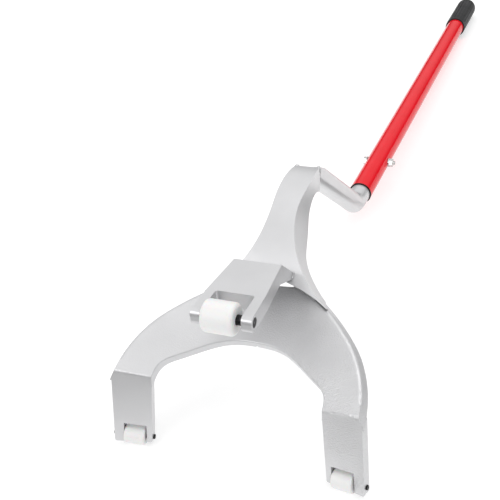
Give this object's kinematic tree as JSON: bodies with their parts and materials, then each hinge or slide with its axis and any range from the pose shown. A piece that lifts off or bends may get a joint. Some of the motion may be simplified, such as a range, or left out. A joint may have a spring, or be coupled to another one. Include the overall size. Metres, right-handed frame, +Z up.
{
  "type": "fork-headed tyre demount bar",
  "caption": "Long steel bar with an arched fork head, bent feet and free-turning nylon rollers, for prying tubeless truck tyres off their rims.",
  "frame": {"origin": "middle of the footprint, on the floor that the foot rollers and the grip lie on", "axes": "+X across the fork, +Y from the fork towards the grip, +Z up"},
  "size_m": [0.2712, 1.212, 0.1922],
  "materials": {
    "silver_paint": "satin silver paint",
    "red_powder_coat": "gloss powder coat",
    "grip_rubber": "matte",
    "white_nylon": "satin",
    "black_steel": "black oxide",
    "zinc_fastener": "zinc plated"
  },
  "bodies": {
    "root": {"fork_plate": "silver_paint", "neck_bar": "silver_paint", "neck_weld": "silver_paint", "roller_bracket": "silver_paint", "bracket_weld": "silver_paint", "handle_bar": "silver_paint", "bar_weld": "silver_paint", "handle_tube": "red_powder_coat", "grip_cap": "grip_rubber", "handle_bolt": "zinc_fastener", "bolt_washer": "zinc_fastener", "nut_washer": "zinc_fastener", "handle_nut": "zinc_fastener", "centre_axle": "black_steel", "right_foot_axle": "black_steel", "left_foot_axle": "black_steel"},
    "centre_roller": {"centre_roller": "white_nylon"},
    "right_foot_roller": {"right_foot_roller": "white_nylon"},
    "left_foot_roller": {"left_foot_roller": "white_nylon"}
  },
  "joints": [
    {"name": "centre_roller_spin", "type": "hinge", "parent": "root", "child": "centre_roller", "pos_m": [0, -0.57145, 0.16946], "axis": [1, 0, 0], "continuous": true},
    {"name": "right_foot_roller_spin", "type": "hinge", "parent": "root", "child": "right_foot_roller", "pos_m": [0.11192, -0.59437, 0.01103], "axis": [0.9768, -0.1838, 0.1099], "continuous": true},
    {"name": "left_foot_roller_spin", "type": "hinge", "parent": "root", "child": "left_foot_roller", "pos_m": [-0.11192, -0.59437, 0.01103], "axis": [0.9768, 0.1838, -0.1099], "continuous": true}
  ]
}
